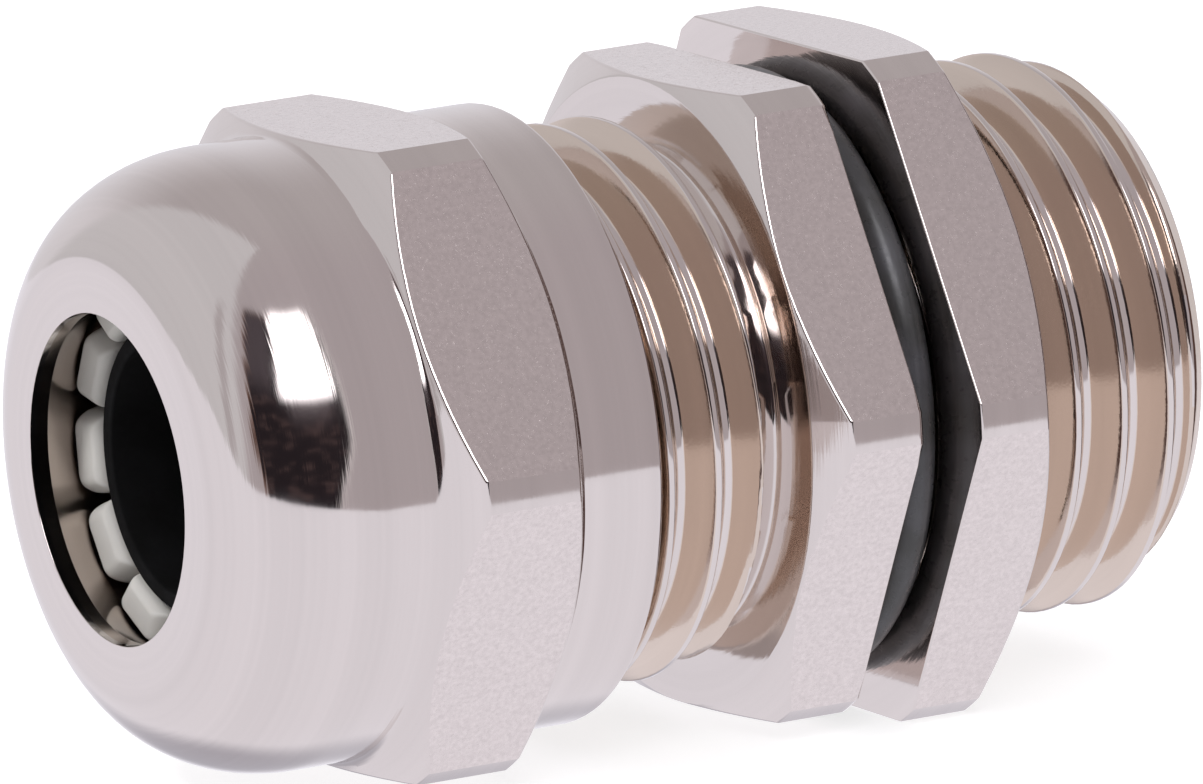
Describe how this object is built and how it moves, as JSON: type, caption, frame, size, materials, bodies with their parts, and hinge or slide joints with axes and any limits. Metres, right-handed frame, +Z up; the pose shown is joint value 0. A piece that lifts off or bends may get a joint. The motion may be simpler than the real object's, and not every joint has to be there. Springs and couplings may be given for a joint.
{
  "type": "cable gland",
  "caption": "Metal cable gland with domed cap nut, clamping and sealing inserts, threaded body, sealing ring and locknut; grips and seals a cable where it enters a panel.",
  "frame": {"origin": "on the surface it lies on, under the middle of its length, below the thread axis", "axes": "+X along the thread axis from the cable entry to the connection thread, +Z up from the flats it lies on"},
  "size_m": [0.0312, 0.0214, 0.019],
  "materials": {
    "nickel_plate": "bright nickel plate over turned brass",
    "polyamide": "natural light grey moulded polyamide",
    "seal_rubber": "matt black rubber",
    "ring_rubber": "satin black rubber"
  },
  "bodies": {
    "gland_body": {"gland_body": "nickel_plate"},
    "clamp_insert": {"clamp_collar": "polyamide", "sealing_insert": "seal_rubber"},
    "cap_nut": {"cap_nut": "nickel_plate"},
    "finger_01": {"clamp_finger_01": "polyamide"},
    "finger_02": {"clamp_finger_02": "polyamide"},
    "finger_03": {"clamp_finger_03": "polyamide"},
    "finger_04": {"clamp_finger_04": "polyamide"},
    "finger_05": {"clamp_finger_05": "polyamide"},
    "finger_06": {"clamp_finger_06": "polyamide"},
    "finger_07": {"clamp_finger_07": "polyamide"},
    "finger_08": {"clamp_finger_08": "polyamide"},
    "finger_09": {"clamp_finger_09": "polyamide"},
    "finger_10": {"clamp_finger_10": "polyamide"},
    "finger_11": {"clamp_finger_11": "polyamide"},
    "finger_12": {"clamp_finger_12": "polyamide"},
    "sealing_ring": {"sealing_ring": "ring_rubber"},
    "locknut": {"locknut": "nickel_plate"}
  },
  "joints": [
    {"name": "cap_nut_turn", "type": "hinge", "parent": "gland_body", "child": "clamp_insert", "pos_m": [-0.00562, 0, 0.0095], "axis": [1, 0, 0], "range_deg": [-360, 180], "deforming": ["sealing_insert"]},
    {"name": "cap_nut_travel", "type": "slide", "parent": "clamp_insert", "child": "cap_nut", "axis": [1, 0, 0], "range_m": [-0.0015, 0.00075]},
    {"name": "finger_bend_01", "type": "hinge", "parent": "clamp_insert", "child": "finger_01", "pos_m": [-0.00822, 0.00554, 0.00921], "axis": [0, 0.0523, 0.9986], "range_deg": [-8.1, 4.05]},
    {"name": "finger_bend_02", "type": "hinge", "parent": "clamp_insert", "child": "finger_02", "pos_m": [-0.00822, 0.00495, 0.01202], "axis": [0, -0.454, 0.891], "range_deg": [-8.1, 4.05]},
    {"name": "finger_bend_03", "type": "hinge", "parent": "clamp_insert", "child": "finger_03", "pos_m": [-0.00822, 0.00302, 0.01415], "axis": [0, -0.8387, 0.5446], "range_deg": [-8.1, 4.05]},
    {"name": "finger_bend_04", "type": "hinge", "parent": "clamp_insert", "child": "finger_04", "pos_m": [-0.00822, 0.00029, 0.01504], "axis": [0, -0.9986, 0.0523], "range_deg": [-8.1, 4.05]},
    {"name": "finger_bend_05", "type": "hinge", "parent": "clamp_insert", "child": "finger_05", "pos_m": [-0.00822, -0.00252, 0.01445], "axis": [0, -0.891, -0.454], "range_deg": [-8.1, 4.05]},
    {"name": "finger_bend_06", "type": "hinge", "parent": "clamp_insert", "child": "finger_06", "pos_m": [-0.00822, -0.00465, 0.01252], "axis": [0, -0.5446, -0.8387], "range_deg": [-8.1, 4.05]},
    {"name": "finger_bend_07", "type": "hinge", "parent": "clamp_insert", "child": "finger_07", "pos_m": [-0.00822, -0.00554, 0.00979], "axis": [0, -0.0523, -0.9986], "range_deg": [-8.1, 4.05]},
    {"name": "finger_bend_08", "type": "hinge", "parent": "clamp_insert", "child": "finger_08", "pos_m": [-0.00822, -0.00495, 0.00698], "axis": [0, 0.454, -0.891], "range_deg": [-8.1, 4.05]},
    {"name": "finger_bend_09", "type": "hinge", "parent": "clamp_insert", "child": "finger_09", "pos_m": [-0.00822, -0.00302, 0.00485], "axis": [0, 0.8387, -0.5446], "range_deg": [-8.1, 4.05]},
    {"name": "finger_bend_10", "type": "hinge", "parent": "clamp_insert", "child": "finger_10", "pos_m": [-0.00822, -0.00029, 0.00396], "axis": [0, 0.9986, -0.0523], "range_deg": [-8.1, 4.05]},
    {"name": "finger_bend_11", "type": "hinge", "parent": "clamp_insert", "child": "finger_11", "pos_m": [-0.00822, 0.00252, 0.00455], "axis": [0, 0.891, 0.454], "range_deg": [-8.1, 4.05]},
    {"name": "finger_bend_12", "type": "hinge", "parent": "clamp_insert", "child": "finger_12", "pos_m": [-0.00822, 0.00465, 0.00648], "axis": [0, 0.5446, 0.8387], "range_deg": [-8.1, 4.05]},
    {"name": "locknut_turn", "type": "hinge", "parent": "gland_body", "child": "sealing_ring", "pos_m": [0.0056, 0, 0.0095], "axis": [1, 0, 0], "range_deg": [0, 2340]},
    {"name": "locknut_travel", "type": "slide", "parent": "sealing_ring", "child": "locknut", "axis": [1, 0, 0], "range_m": [0, 0.00975]}
  ],
  "couplings": [
    {"joint": "cap_nut_travel", "follows": "cap_nut_turn", "m_per_rad": 0.00023873},
    {"joint": "finger_bend_01", "follows": "cap_nut_turn", "ratio": 0.02249},
    {"joint": "finger_bend_02", "follows": "cap_nut_turn", "ratio": 0.02249},
    {"joint": "finger_bend_03", "follows": "cap_nut_turn", "ratio": 0.02249},
    {"joint": "finger_bend_04", "follows": "cap_nut_turn", "ratio": 0.02249},
    {"joint": "finger_bend_05", "follows": "cap_nut_turn", "ratio": 0.02249},
    {"joint": "finger_bend_06", "follows": "cap_nut_turn", "ratio": 0.02249},
    {"joint": "finger_bend_07", "follows": "cap_nut_turn", "ratio": 0.02249},
    {"joint": "finger_bend_08", "follows": "cap_nut_turn", "ratio": 0.02249},
    {"joint": "finger_bend_09", "follows": "cap_nut_turn", "ratio": 0.02249},
    {"joint": "finger_bend_10", "follows": "cap_nut_turn", "ratio": 0.02249},
    {"joint": "finger_bend_11", "follows": "cap_nut_turn", "ratio": 0.02249},
    {"joint": "finger_bend_12", "follows": "cap_nut_turn", "ratio": 0.02249},
    {"joint": "locknut_travel", "follows": "locknut_turn", "m_per_rad": 0.00023873}
  ]
}
